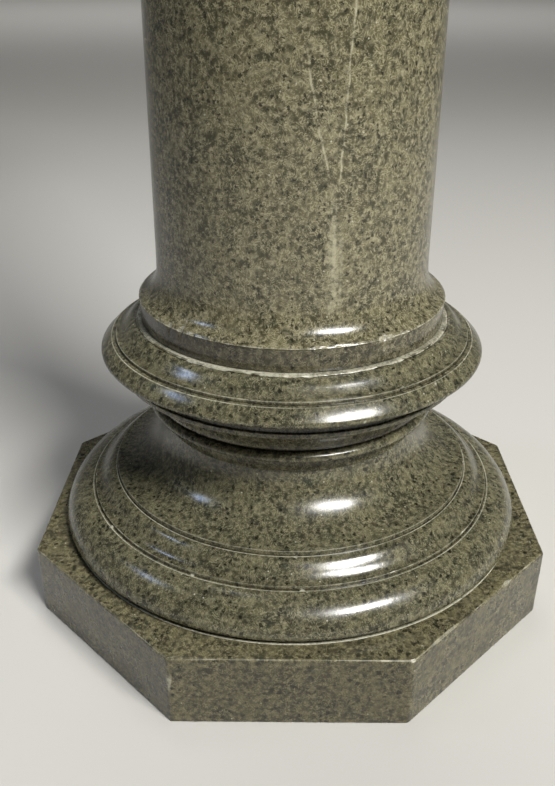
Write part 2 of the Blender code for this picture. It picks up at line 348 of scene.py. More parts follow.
def nearest(points, place):
    """Index of the point nearest to a place."""
    return np.argmin(np.hypot(*(points - place).T))


def fitted(line, rows, arrises):
    """Rows chosen along the line so that straight runs get few and turns get many, with more at each arris.

    Returns the points, their distance along the line, and the turn to the left in radians per millimetre."""
    along = np.concatenate([[0.0], np.cumsum(np.hypot(*np.diff(line, axis=0).T))])
    slope = np.unwrap(np.arctan2(np.gradient(line[:, 1]), np.gradient(line[:, 0])))
    turn = np.gradient(slope, along)
    share = np.cumsum(STRAIGHT_SHARE + np.minimum(np.abs(turn), SHARPEST_TURN) * TURN_SHARE)
    share = (share - share[0]) / (share[-1] - share[0])
    places = [np.interp(np.linspace(0.0, 1.0, rows), share, along)]
    places += [along[nearest(line, arris)] + ARRIS_ROWS for arris in arrises]
    places = np.unique(np.round(np.concatenate(places), 2))
    points = np.stack([np.interp(places, along, line[:, axis]) for axis in (0, 1)], axis=1)
    return points, places, np.interp(places, along, turn)


def round_ring(columns):
    """Unit circle: (cos a, sin a) for evenly spaced angles."""
    angles = np.arange(columns) * 2 * pi / columns
    return angles, np.cos(angles), np.sin(angles)


def octagon_ring(columns, apothem):
    """Octagon of apothem 1 walked evenly, its corners eased by averaging neighbours round the ring."""
    half = pi / OCTAGON_SIDES
    corners = (np.arange(OCTAGON_SIDES + 1) * 2 - 1) * half
    walk = np.arange(columns) * OCTAGON_SIDES / columns
    x = np.interp(walk, np.arange(OCTAGON_SIDES + 1), np.cos(corners)) / cos(half)
    y = np.interp(walk, np.arange(OCTAGON_SIDES + 1), np.sin(corners)) / cos(half)
    spacing = 2 * OCTAGON_SIDES * apothem * np.tan(half) / columns
    reach = int(round(6 * CORNER_EASE / spacing))
    weights = bell_curve(reach, spacing, CORNER_EASE)
    x, y = (np.convolve(np.pad(value, reach, mode="wrap"), weights, mode="valid") for value in (x, y))
    return np.arctan2(y, x), x, y


def wavering(angles, cells, seed):
    """Smooth noise from 0 to 1 round a ring: random values at even cells, joined by a cosine ease."""
    values = np.random.default_rng(seed).random(cells)
    place = (angles / (2 * pi)) % 1.0 * cells
    low = np.floor(place).astype(int) % cells
    blend = (1 - np.cos(pi * (place - np.floor(place)))) / 2
    return values[low] * (1 - blend) + values[(low + 1) % cells] * blend


def chipping(angles, depth, seed, bare=0.35, coarse=40, fine=230):
    """Depth of an arris's chips round a ring: coarse and fine wavering above the bare level, times depth."""
    mixed = COARSE_SHARE * wavering(angles, coarse, seed)
    mixed += (1 - COARSE_SHARE) * wavering(angles, fine, seed + 1)
    return depth * np.clip((mixed - bare) / (1 - bare), 0.0, None)


def near_angle(angles, centre, spread):
    """1 at an angle and falling to 0 as a bell curve of that spread, all in degrees from the front (-Y)."""
    away = (np.degrees(angles) + 90 - centre + 180) % 360 - 180
    return np.exp(-0.5 * (away / spread) ** 2)


def into_stone(points, row):
    """Unit direction from an arris into the stone: the bisector of its two sides, by its outermost rows."""
    reach = len(ARRIS_ROWS) // 2
    before, after = points[row - reach] - points[row], points[row + reach] - points[row]
    inward = before / np.linalg.norm(before) + after / np.linalg.norm(after)
    return inward / np.linalg.norm(inward)


def dented(x, y, z, centre, size, depth, seed):
    """Depth of a knock at each point: depth * sqrt(1 - (distance / size)^2), its size wavering by a quarter
    either way round it."""
    away = np.sqrt((x - centre[0]) ** 2 + (y - centre[1]) ** 2 + (z - centre[2]) ** 2)
    bearing = np.arctan2(z - centre[2], x - centre[0] + y - centre[1])
    ragged = size * (0.75 + 0.5 * wavering(bearing, KNOCK_WAVES, seed))
    return np.clip(1 - (away / ragged) ** 2, 0.0, 1.0) ** 0.5 * depth


def ring_surface(name, line, ring, rows, level, chips=(), pale_lines=(), knocks=(), pale=None, dirt_and_shade=None):
    """Closed surface: point (row, column) is the ring's point times the outline's radius, at its height.

    A chip is (arris, depth round the ring, paleness). It moves the outline inward along its arris's
    bisector, by its depth less CHIP_SLOPE times the distance from the arris, so that it cuts a facet. A pale
    line is (arris, strength round the ring), and a knock is (centre, size, depth, seed). The first attribute
    is 1 on the palest fresh chips and on pale lines that are partly rubbed wear and partly painted highlight;
    the second is 1 where the dirt and painted shade in quirks and recesses are darkest."""
    angles, ring_x, ring_y = ring
    stretches = [np.atleast_2d(np.asarray(stretch, float)) for stretch in line]
    whole = np.vstack([[(0.0, stretches[0][0][1])], *stretches, [(0.0, stretches[-1][-1][1])]])
    smooth = eased(evenly(whole, OUTLINE_STEP), OUTLINE_STEP, ARRIS_EASE)
    used = dict.fromkeys(tuple(arris) for arris, *_ in (*chips, *pale_lines))
    points, places, turn = fitted(smooth, rows, list(used))
    points[0, 0] = points[-1, 0] = 0.0
    radius = np.repeat(points[:, :1], len(angles), axis=1)
    height = np.repeat(points[:, 1:], len(angles), axis=1)
    wear_and_sheen = np.zeros_like(radius)
    # A hollow turn is painted darker by itself: painted shade in the hollows
    grime_and_shade = np.repeat(np.clip(-turn[:, None] * HOLLOW_SHADE, 0.0, HOLLOW_SHADE_MOST), len(angles), axis=1)
    if dirt_and_shade is not None:
        grime_and_shade = np.maximum(grime_and_shade, dirt_and_shade(points[:, :1], points[:, 1:], angles[None, :]))
    for arris, depth, paleness in chips:
        row = nearest(points, arris)
        inward = into_stone(points, row)
        cut = np.clip(depth[None, :] - CHIP_SLOPE * np.abs(places - places[row])[:, None], 0.0, None)
        radius += inward[0] * cut
        height += inward[1] * cut
        wear_and_sheen = np.maximum(wear_and_sheen, paleness * np.clip(cut / FRESH_CHIP, 0.0, 1.0))
    for arris, strength in pale_lines:
        near = np.exp(-0.5 * ((places - places[nearest(points, arris)]) / RUBBED_SHEEN_LINE) ** 2)
        wear_and_sheen = np.maximum(wear_and_sheen, near[:, None] * strength[None, :])
    if pale is not None:
        wear_and_sheen = np.maximum(wear_and_sheen, pale(points[:, :1], points[:, 1:], angles[None, :]))
    x, y, z = ring_x * radius, ring_y * radius, height + 0.0
    for centre, size, depth, seed in knocks:
        # A knock drives the surface toward the axis and toward the piece's middle height
        dent = dented(x, y, z, centre, size, depth, seed)
        inward = -np.array(centre) / np.hypot(centre[0], centre[1])
        x += inward[0] * dent
        y += inward[1] * dent
        z -= np.sign(centre[2] - height.mean()) * dent * KNOCK_DROP
        wear_and_sheen = np.maximum(wear_and_sheen, np.clip(dent / FRESH_KNOCK, 0.0, KNOCK_PALENESS))
    grid = np.stack([x, y, z + level], axis=2) * MM
    return closed_mesh(name, grid, wear_and_sheen, grime_and_shade)


def closed_mesh(name, grid, wear_and_sheen, grime_and_shade):
    """A mesh from a grid of rows and columns that closes round its columns and at a pole at each end."""
    rows, columns = grid.shape[:2]
    inner = grid[1:-1].reshape(-1, 3)
    points = np.vstack([grid[0].mean(axis=0), inner, grid[-1].mean(axis=0)])
    index = 1 + np.arange((rows - 2) * columns).reshape(rows - 2, columns)
    beside = np.roll(index, -1, axis=1)
    quads = np.stack([index[:-1], beside[:-1], beside[1:], index[1:]], axis=2).reshape(-1, 4)
    low = np.stack([np.zeros(columns, int), beside[0], index[0]], axis=1)
    high = np.stack([np.full(columns, len(points) - 1), index[-1], beside[-1]], axis=1)
    mesh = bpy.data.meshes.new(name)
    mesh.from_pydata(points, [], quads.tolist() + low.tolist() + high.tolist())
    for title, value in (("wear_and_sheen", wear_and_sheen), ("grime_and_shade", grime_and_shade)):
        values = np.concatenate([[value[0].mean()], value[1:-1].ravel(), [value[-1].mean()]])
        attribute = mesh.attributes.new(title, "FLOAT", "POINT")
        attribute.data.foreach_set("value", values.astype(np.float32))
    mesh.shade_smooth()
    piece = bpy.data.objects.new(name, mesh)
    bpy.context.collection.objects.link(piece)
    return piece


def foot_and_top(node):
    """A node's lowest and highest level and its greatest radius or apothem, in millimetres."""
    low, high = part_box(node)
    return low[2] / MM, high[2] / MM, high[0] / MM


def on_ring(azimuth, radius, height):
    """The point at an azimuth in degrees right of the front, a radius and a height above the piece's foot."""
    turned = radians(azimuth)
    return radius * sin(turned), -radius * cos(turned), height


def dress(piece, node, material):
    """Gives a piece its material and body, and hides the node's CAD part that it stands for."""
    piece.data.materials.append(material)
    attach(piece, "root")
    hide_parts(node)


# Pieces

def plinth(material):
    """The octagonal plinth, its top arris knocked most at the front right."""
    columns, rows = PLINTH_GRID
    low, high, apothem = foot_and_top("plinth")
    line, arrises = block_outline(apothem, high - low)
    ring = octagon_ring(columns, apothem)
    angles = ring[0]
    broken_corner = near_angle(angles, 46, 15) * chipping(angles, 1.9, 12, bare=0.42, coarse=90)
    chips = [(arrises["top"], chipping(angles, 0.4, 11) + broken_corner, 0.4),
             (arrises["foot"], chipping(angles, 0.5, 13), 0.4)]
    corner = apothem / cos(radians(CORNER_AZIMUTH))
    knocks = [(on_ring(CORNER_AZIMUTH, corner, high - low), 1.5, 0.3, 1),
              (on_ring(-CORNER_AZIMUTH, corner, 31.0), 2.4, 0.3, 2),
              (on_ring(-CORNER_AZIMUTH, corner, 23.0), 2.0, 0.25, 3)]
    # Pale lines along the top arris, partly rubbed wear and partly painted highlight, strongest just right
    # and left of the front
    rubbed_and_sheen = 0.7 * wavering(angles, 130, 14) ** 2
    rubbed_and_sheen += 0.7 * near_angle(angles, 17, 6) + 0.3 * near_angle(angles, -6, 6)

    def scuffs(radius, height, angle):
        """Floor dirt rubbed into the sides, below the top arris."""
        sides = (height < high - low - BLOCK_ARRIS) * (radius > HIDDEN_CORE)
        return sides * (0.14 + 0.08 * wavering(angle, 70, 15))

    piece = ring_surface("plinth_stone", line, ring, rows, low, chips=chips, knocks=knocks,
                         pale_lines=[(arrises["top"], rubbed_and_sheen)], dirt_and_shade=scuffs)
    dress(piece, "plinth", material)


def base(material):
    """The turned base, with fine pale lines along its arrises, partly rubbed wear and partly painted
    highlight; returns its neck's radius.
    """
    columns, rows = BASE_GRID
    low, _, nose = foot_and_top("base")
    line, arrises = base_outline(nose)
    ring = round_ring(columns)
    angles = ring[0]
    # Pale lines along the arrises: partly rubbed wear, partly painted highlight
    strengths = {"ovolo": 1.0, "fillet": 0.3, "ogee": 1.0, "bell": 0.4}
    rubbed_and_sheen = [(arrises[name], strength * (0.5 + 0.5 * wavering(angles, 30, seed)))
              for seed, (name, strength) in enumerate(strengths.items(), 21)]
    chips = [(arrises[name], chipping(angles, 0.5, seed, bare=0.7), 1.0)
             for seed, name in enumerate(strengths, 31)]
    knocks = [(on_ring(2.7, 123.2, 21.6), 0.9, 0.4, 4), (on_ring(-25.0, 123.2, 21.6), 1.1, 0.4, 5),
              (on_ring(-56.0, 123.2, 21.6), 1.2, 0.5, 6), (on_ring(-50.0, 131.0, 18.7), 0.9, 0.4, 7),
              (on_ring(1.5, 109.2, 31.9), 1.0, 0.4, 8), (on_ring(31.0, 134.0, 16.5), 0.8, 0.3, 9)]

    def bedding(radius, height, angle):
        """Pale bedding round the foot, palest at its outer edge: partly the filler's own pale colour and
        partly a painted highlight, so that it shows as a thin bright line.
        """
        outer = np.clip((radius - (arrises["bedding"][0] - 0.8)) / 0.6, 0.0, 1.0)
        return (height < BEDDING[1] + 0.2) * outer * (0.75 + 0.25 * wavering(angle, 24, 41))

    piece = ring_surface("base_stone", line, ring, rows, low, chips=chips, pale_lines=rubbed_and_sheen, knocks=knocks,
                         pale=bedding)
    dress(piece, "base", material)
    return line[-1][-1][0]


def collar(material, neck):
    """The turned collar, its ledge chalky and chipped all round, with pale lines along its arrises that are
    partly rubbed wear and partly painted highlight, and painted shade in its quirk, cavetto and recess;
    returns the ledge's radius.
    """
    columns, rows = COLLAR_GRID
    low, _, nose = foot_and_top("collar")
    line, arrises = collar_outline(neck)
    ring = round_ring(columns)
    angles = ring[0]
    # Pale lines along the arrises: partly rubbed wear, partly painted highlight
    strengths = {"nosing": 1.0, "upper": 0.6, "rim": 0.35, "neck": 0.5}
    rubbed_and_sheen = [(arrises[name], strength * (0.3 + 0.7 * wavering(angles, 30, seed)))
              for seed, (name, strength) in enumerate(strengths.items(), 51)]
    chips = [(arrises["ledge"], chipping(angles, 1.3, 61, bare=0.3, coarse=60, fine=260), 0.7),
             (arrises["nosing"], chipping(angles, 0.4, 63, bare=0.6), 1.0),
             (arrises["rim top"], chipping(angles, 0.5, 65, bare=0.6), 0.8)]
    ledge_radius, ledge_height = arrises["ledge"]

    def chalk(radius, height, angle):
        """Chalky bedding on the ledge that the shaft stands on, patchy, with a jagged outer border."""
        border = ledge_radius - 0.9 + 1.7 * wavering(angle, 170, 66) * wavering(angle, 44, 67)
        patch = np.clip(0.5 + 0.6 * wavering(angle, 100, 68), 0.0, 0.9)
        patch = patch * (0.55 + 0.45 * near_angle(angle, -15, 35))
        on_ledge = (height > ledge_height - 1.0) * (radius > HIDDEN_CORE)
        return on_ledge * np.clip(2 * (border - radius), 0.0, 1.0) * patch

    def quirk_and_recess_shade(radius, height, angle):
        """Painted shade: darkest in the quirk over the bead, patchy in the recess under the nosing, faint in
        the cavetto.
        """
        recess_foot = arrises["rim top"][1]
        soffit = recess_foot + RECESS[1] + SOFFIT_RISE
        quirk = (height > arrises["bead"][1] - 0.3) * (height < arrises["cavetto"][1] + 0.3)
        hollow = (height > arrises["cavetto"][1]) * (height < arrises["rim"][1] - 0.4)
        recess = (height > recess_foot + 0.2) * (height < soffit) * (radius < nose - 2.0)
        return 0.75 * quirk + (0.3 + 0.3 * wavering(angle, 60, 69)) * recess + 0.15 * hollow

    knocks = [(on_ring(38.0, 107.5, 51.4), 1.0, 0.2, 11), (on_ring(44.0, 105.8, 52.8), 0.9, 0.2, 12),
              (on_ring(47.0, 98.0, 57.6), 1.0, 0.2, 13), (on_ring(33.0, 101.5, 55.6), 0.8, 0.2, 14),
              (on_ring(57.0, 109.5, 49.0), 1.0, 0.2, 15), (on_ring(18.5, 110.8, 46.0), 1.0, 0.3, 16)]
    piece = ring_surface("collar_stone", line, ring, rows, low, chips=chips, pale_lines=rubbed_and_sheen, knocks=knocks,
                         pale=chalk, dirt_and_shade=quirk_and_recess_shade)
    dress(piece, "collar", material)
    return ledge_radius


def shaft(material, ledge):
    """The shaft, its flare's lower lip ragged on both sides of the front; returns its head's radius."""
    columns, rows = SHAFT_GRID
    low, high, _ = foot_and_top("shaft")
    line, arrises = shaft_outline(ledge, high - low)
    ring = round_ring(columns)
    angles = ring[0]
    ragged = 0.3 + near_angle(angles, 42, 13) + near_angle(angles, -42, 11)
    lip = ragged * chipping(angles, 2.0, 71, bare=0.3, coarse=110, fine=380)

    def band_dirt_and_shade(radius, height, angle):
        """Darker foot band under the lip, partly dirt and partly painted shade, with more painted shade on
        the left, the side away from the key light.
        """
        left = 0.35 * near_angle(angle, -60, 30)
        band = (height < FOOT_BAND_HEIGHT) * (radius > HIDDEN_CORE)
        return band * (0.2 + left + 0.25 * wavering(angle, 50, 74))

    piece = ring_surface("shaft_stone", line, ring, rows, low, chips=[(arrises["lip"], lip, 0.5)],
                         pale_lines=[(arrises["lip"], 0.7 * wavering(angles, 90, 73) ** 2)], dirt_and_shade=band_dirt_and_shade)
    dress(piece, "shaft", material)
    return line[-1][0]


def capital(material, head):
    """The turned capital, plainer than the base."""
    columns, rows = CAPITAL_GRID
    low, _, _ = foot_and_top("capital")
    line, arrises = capital_outline(head)
    ring = round_ring(columns)
    chips = [(arrises["bed"], chipping(ring[0], 0.7, 81, bare=0.5), 0.6)]
    piece = ring_surface("capital_stone", line, ring, rows, low, chips=chips)
    dress(piece, "capital", material)


def top_slab(material):
    """The octagonal slab on top."""
    columns, rows = SLAB_GRID
    low, high, apothem = foot_and_top("top_slab")
    line, arrises = block_outline(apothem, high - low)
    ring = octagon_ring(columns, apothem)
    chips = [(arrises["top"], chipping(ring[0], 0.7, 91), 0.6),
             (arrises["foot"], chipping(ring[0], 0.6, 93), 0.6)]
    piece = ring_surface("top_slab_stone", line, ring, rows, low, chips=chips)
    dress(piece, "top_slab", material)


# Stone: each layer below takes the colour so far and gives it back with the layer on it

def linear(code):
    """An sRGB hex colour as linear RGBA."""
    values = np.array([int(code[at:at + 2], 16) for at in (1, 3, 5)]) / 255
    values = np.where(values <= 0.04045, values / 12.92, ((values + 0.055) / 1.055) ** 2.4)
    return (*values.tolist(), 1.0)


def add(tree, kind, output, inputs, **settings):
    """Adds a node, sets its settings, fills its inputs with values or other nodes' outputs, and gives one
    output."""
    node = tree.nodes.new("ShaderNode" + kind)
    for key, value in settings.items():
        setattr(node, key, value)
    for key, value in inputs.items():
        if isinstance(value, bpy.types.NodeSocket):
            tree.links.new(value, node.inputs[key])
        else:
            node.inputs[key].default_value = value
    return node.outputs[output]


def felted(node, at, colour, felt):
    """Felted patches of pale fibre, about 4 mm across."""
    patch = node("TexNoise", "Fac", {"Vector": at, "Scale": 1 / FELT_SIZE, "Detail": 4.0, "Roughness": 0.65,
                                     "Distortion": 0.8})
    patch = node("MapRange", "Result", {"Value": patch, "From Min": 0.5, "From Max": 0.7, "To Max": 0.6})
    return node("Mix", 2, {0: patch, 6: colour, 7: linear(felt)}, data_type="RGBA")


def stained(node, at, colour, mottle):
    """Soft stains, dark green and 5 mm across, with a few faint warm ones."""
    stain = node("TexNoise", "Fac", {"Vector": at, "Scale": 1 / STAIN_SIZE, "Detail": 3.0, "Distortion": 0.5})
    warm = node("MapRange", "Result", {"Value": stain, "From Min": 0.6, "From Max": 0.74, "To Max": 0.16})
    colour = node("Mix", 2, {0: warm, 6: colour, 7: linear("#7C6B50")}, data_type="RGBA")
    green = node("MapRange", "Result", {"Value": stain, "From Min": 0.46, "From Max": 0.3, "To Max": mottle})
    return node("Mix", 2, {0: green, 6: colour, 7: linear("#2C3327")}, data_type="RGBA")


def bladed(node, at, colour, felt, broken):
    """Blades: fans of pale fibres, a new direction in each patch of 6 mm, a fibre every 1.5 mm or so.

    A fibre shows where the sine of the distance along its patch's heading is high, and the ground's own
    mottling breaks it up."""
    ripple = node("TexNoise", "Color", {"Vector": at, "Scale": 1 / BLADE_WAVE, "Detail": 2.0})
    ripple = node("VectorMath", "Vector", {0: ripple, "Scale": BLADE_WAVE_REACH}, operation="SCALE")
    warped = node("VectorMath", "Vector", {0: at, 1: ripple}, operation="ADD")
    patches = node("TexVoronoi", "Color", {"Vector": warped, "Scale": 1 / BLADE_PATCH})
    heading = node("VectorMath", "Vector", {0: patches, 1: (0.5, 0.5, 0.5)}, operation="SUBTRACT")
    heading = node("VectorMath", "Vector", {0: heading}, operation="NORMALIZE")
    across = node("VectorMath", "Value", {0: warped, 1: heading}, operation="DOT_PRODUCT")
    across = node("Math", 0, {0: across, 1: 2 * pi / BLADE_SPACE}, operation="MULTIPLY")
    blade = node("Math", 0, {0: across}, operation="SINE")
    blade = node("MapRange", "Result", {"Value": blade, "From Min": 0.3, "From Max": 0.9, "To Max": 0.85})
    blade = node("Math", 0, {0: blade, 1: broken}, operation="MULTIPLY")
    return node("Mix", 2, {0: blade, 6: colour, 7: linear(felt)}, data_type="RGBA")


def threaded(node, at, colour, felt, broken):
    """Long single threads about 0.4 mm wide, where a swirled noise is close to a half, broken up likewise."""
    bend = node("TexNoise", "Fac", {"Vector": at, "Scale": 1 / THREAD_SPACE, "Detail": 1.0,
                                    "Distortion": 2.4})
    away = node("Math", 0, {0: bend, 1: 0.5}, operation="SUBTRACT")
    away = node("Math", 0, {0: away}, operation="ABSOLUTE")
    thread = node("MapRange", "Result", {"Value": away, "From Min": 0.006, "From Max": 0.04, "To Min": 0.8,
                                         "To Max": 0.0})
    thread = node("Math", 0, {0: thread, 1: broken}, operation="MULTIPLY")
    return node("Mix", 2, {0: thread, 6: colour, 7: linear(felt)}, data_type="RGBA")


def grained(node, at, colour, space):
    """Green-black grains: rounded spots one to a cell, of many sizes, ragged by a small noise, and crowded
    in some places; also gives the grains' mask."""
    jitter = node("TexNoise", "Color", {"Vector": at, "Scale": 1 / GRAIN_RAG_SIZE, "Detail": 2.0})
    jitter = node("VectorMath", "Vector", {0: jitter, "Scale": GRAIN_RAG_REACH}, operation="SCALE")
    ragged = node("VectorMath", "Vector", {0: at, 1: jitter}, operation="ADD")
    spot = node("TexVoronoi", "Distance", {"Vector": ragged, "Scale": 1 / space})
    chance = node("SeparateXYZ", "X", {0: spot.node.outputs["Color"]})
    crowd = node("TexNoise", "Fac", {"Vector": at, "Scale": 1 / GRAIN_CROWD_SIZE, "Detail": 1.0})
    crowd = node("MapRange", "Result", {"Value": crowd, "From Min": 0.3, "From Max": 0.7, "To Min": -0.12,
                                        "To Max": 0.08})
    reach = node("MapRange", "Result", {"Value": chance, "To Min": -0.05, "To Max": 0.36})
    reach = node("Math", 0, {0: reach, 1: crowd}, operation="ADD")
    inside = node("Math", 0, {0: reach, 1: spot}, operation="SUBTRACT")
    grain = node("MapRange", "Result", {"Value": inside, "From Min": -0.1, "From Max": 0.06, "To Max": 0.88})
    return node("Mix", 2, {0: grain, 6: colour, 7: linear("#1D1E15")}, data_type="RGBA"), grain


def flecked(node, at, colour):
    """Bright flecks about 1 mm across, one in every 2 cm or so of the surface."""
    fleck = node("TexVoronoi", "Distance", {"Vector": at, "Scale": 1 / FLECK_SPACE})
    fleck = node("MapRange", "Result", {"Value": fleck, "From Min": 0.025, "From Max": 0.07, "To Min": 0.6,
                                        "To Max": 0.0})
    return node("Mix", 2, {0: fleck, 6: colour, 7: linear("#D2D0BC")}, data_type="RGBA")


def veined(node, place, at, colour, share, azimuth, lean, lowest, highest, half, strength):
    """A wavy sheet of pale mineral through the front of the stone, faded at its foot and head.

    It comes out at an azimuth in degrees right of the front, which changes by lean over 100 mm up. Its
    lowest and highest level and half its thickness are in mm, and it is fainter where the ground is dark."""
    turned = radians(azimuth)
    level = node("SeparateXYZ", "Z", {0: place})
    lean_end = (lowest + VEIN_LEAN_RUN) * MM
    lean_shift = node("MapRange", "Result", {"Value": level, "From Min": lowest * MM, "From Max": lean_end,
                                             "To Max": radians(lean) * VEIN_SHAFT_RADIUS}, clamp=False)
    wave = node("TexNoise", "Fac", {"Vector": at, "Scale": 1 / VEIN_WAVE, "Detail": 3.0, "Roughness": 0.5})
    wave = node("MapRange", "Result", {"Value": wave, "To Min": -VEIN_WAVE_REACH, "To Max": VEIN_WAVE_REACH})
    across = node("VectorMath", "Value", {0: place, 1: (cos(turned) / MM, sin(turned) / MM, 0)},
                  operation="DOT_PRODUCT")
    across = node("Math", 0, {0: across, 1: lean_shift}, operation="SUBTRACT")
    across = node("Math", 0, {0: across, 1: wave}, operation="ADD")
    across = node("Math", 0, {0: across}, operation="ABSOLUTE")
    sheet = node("MapRange", "Result", {"Value": across, "From Min": half * 0.2, "From Max": half,
                                        "To Min": strength, "To Max": 0.0})
    rise = node("MapRange", "Result", {"Value": level, "From Min": lowest * MM,
                                       "From Max": (lowest + VEIN_RISE) * MM})
    fall = node("MapRange", "Result", {"Value": level, "From Min": (highest - VEIN_FALL) * MM,
                                       "From Max": highest * MM, "To Min": 1.0, "To Max": 0.0})
    front = node("SeparateXYZ", "Y", {0: place})
    front = node("Math", 0, {0: front, 1: 0.0}, operation="LESS_THAN")
    for limit in (rise, fall, front, share):
        sheet = node("Math", 0, {0: sheet, 1: limit}, operation="MULTIPLY")
    return node("Mix", 2, {0: sheet, 6: colour, 7: linear("#B5B197")}, data_type="RGBA")


def weathered(node, at, colour):
    """Bruised and chipped arrises and pale lines along arrises that are partly rubbed wear and partly painted
    highlight, all crumbly at 1.6 mm, and dirt and painted shade in the quirks, hollows and recesses; also
    gives the mask of these pale marks.

    The mesh's two attributes say where: the pale marks mix toward #C9C6B2, the dirt and painted shade toward
    #1A110B."""
    wear_and_sheen = node("Attribute", "Fac", {}, attribute_name="wear_and_sheen")
    crumb = node("TexNoise", "Fac", {"Vector": at, "Scale": 1 / CRUMB_SIZE, "Detail": 3.0})
    crumb = node("MapRange", "Result", {"Value": crumb, "From Min": 0.3, "From Max": 0.6, "To Min": 0.4})
    bruise_and_sheen = node("Math", 0, {0: wear_and_sheen, 1: crumb}, operation="MULTIPLY")
    colour = node("Mix", 2, {0: bruise_and_sheen, 6: colour, 7: linear("#C9C6B2")}, data_type="RGBA")
    # Dirt and painted shade: the second attribute darkens quirks, hollows, the collar's recess and the
    # shaft's foot band
    grime_and_shade = node("Attribute", "Fac", {}, attribute_name="grime_and_shade")
    return node("Mix", 2, {0: grime_and_shade, 6: colour, 7: linear("#1A110B")}, data_type="RGBA"), bruise_and_sheen


def serpentine(name, shift, dark="#343327", mid="#57543F", felt="#827E65", grain_space=3.3, mottle=0.55,
               polish=0.2, veins=()):
    """Serpentine, turned and polished: a mottled olive ground matted with pale fibres, green-black grains of
    1 to 3 mm, a few bright flecks, and a wax-like shine that dulls to a pale bruise where it is chipped;
    pale lines along the arrises are partly painted highlight, and the quirks and hollows hold dirt and
    painted shade.

    Shift sets where in the block the piece was cut from, and veins are as in SHAFT_VEINS."""
    material = bpy.data.materials.new(name)
    material.use_nodes = True
    tree = material.node_tree
    shader = tree.nodes["Principled BSDF"]
    node = partial(add, tree)
    place = node("TexCoord", "Object", {})
    at = node("Mapping", "Vector", {"Vector": place, "Location": shift, "Scale": (1 / MM, 1 / MM, 1 / MM)})

    # Ground: dark and mid olive, mottled at 3 mm and finer, over clouds of 12 mm
    fine = node("TexNoise", "Fac", {"Vector": at, "Scale": 1 / MOTTLE_SIZE, "Detail": 4.0, "Roughness": 0.72})
    cloud = node("TexNoise", "Fac", {"Vector": at, "Scale": 1 / CLOUD_SIZE, "Detail": 3.0, "Roughness": 0.55})
    lift = node("MapRange", "Result", {"Value": cloud, "From Min": 0.3, "From Max": 0.7, "To Min": -0.16,
                                       "To Max": 0.16})
    tone = node("Math", 0, {0: fine, 1: lift}, operation="ADD")
    share = node("MapRange", "Result", {"Value": tone, "From Min": 0.34, "From Max": 0.64})
    colour = node("Mix", 2, {0: share, 6: linear(dark), 7: linear(mid)}, data_type="RGBA")
    broken = node("MapRange", "Result", {"Value": fine, "From Min": 0.42, "From Max": 0.58})
    colour = felted(node, at, colour, felt)
    colour = stained(node, at, colour, mottle)
    colour = bladed(node, at, colour, felt, broken)
    colour = threaded(node, at, colour, felt, broken)
    colour, grain = grained(node, at, colour, grain_space)
    colour = flecked(node, at, colour)
    for vein in veins:
        colour = veined(node, place, at, colour, share, *vein)
    colour, bruise_and_sheen = weathered(node, at, colour)
    tree.links.new(colour, shader.inputs["Base Color"])
    # Polish, uneven over 18 mm and lost where the stone is bruised and along the painted pale lines
    hazy = node("TexNoise", "Fac", {"Vector": at, "Scale": 1 / HAZE_SIZE, "Detail": 3.0})
    hazy = node("MapRange", "Result", {"Value": hazy, "From Min": 0.3, "From Max": 0.7,
                                       "To Min": polish - 0.03, "To Max": polish + 0.07})
    dull = node("Math", 0, {0: bruise_and_sheen, 1: 0.6}, operation="MULTIPLY")
    rough = node("Math", 0, {0: hazy, 1: dull}, operation="MAXIMUM")
    tree.links.new(rough, shader.inputs["Roughness"])
    # Fine pits, and grains that polish a little lower than the ground
    pits = node("Math", 0, {0: fine, 1: grain}, operation="SUBTRACT")
    relief = node("Bump", "Normal", {"Height": pits, "Strength": 0.1, "Distance": PIT_DEPTH * MM})
    tree.links.new(relief, shader.inputs["Normal"])
    shader.inputs["IOR"].default_value = 1.56
    return material


def floor_paint():
    """Plain matt paint on the studio floor, pale and without figure."""
    material = bpy.data.materials.new("matt_floor_paint")
    material.use_nodes = True
    shader = material.node_tree.nodes["Principled BSDF"]
    shader.inputs["Base Color"].default_value = linear("#C4C2BD")
    shader.inputs["Roughness"].default_value = 0.9
    return material


# Studio

def studio_floor():
    """Floor and backdrop in one: level out to FLOOR_RADIUS, a quarter circle, then straight up; each point
    of that line is turned about the axis, at (radius * sin a, radius * cos a, height)."""
    cove = arc((FLOOR_RADIUS, COVE_RADIUS), COVE_RADIUS, COVE_RADIUS, -90, 0)
    sweep = np.vstack([[(radius, 0.0) for radius in FLOOR_RINGS], cove,
                       [(FLOOR_RADIUS + COVE_RADIUS, BACKDROP_HEIGHT)]])
    angles = np.arange(FLOOR_SIDES) * 2 * pi / FLOOR_SIDES
    points = np.stack([sweep[:, :1] * np.sin(angles), sweep[:, :1] * np.cos(angles),
                       np.repeat(sweep[:, 1:], FLOOR_SIDES, axis=1)], axis=2).reshape(-1, 3)
    index = 1 + np.arange(len(points)).reshape(-1, FLOOR_SIDES)
    beside = np.roll(index, -1, axis=1)
    quads = np.stack([index[:-1], index[1:], beside[1:], beside[:-1]], axis=2).reshape(-1, 4)
    middle = np.stack([np.zeros(FLOOR_SIDES, int), index[0], beside[0]], axis=1)
    mesh = bpy.data.meshes.new("studio_floor")
    mesh.from_pydata(np.vstack([[(0.0, 0.0, 0.0)], points]), [], quads.tolist() + middle.tolist())
    mesh.shade_smooth()
    mesh.materials.append(floor_paint())
    floor = bpy.data.objects.new("studio_floor", mesh)
    bpy.context.collection.objects.link(floor)


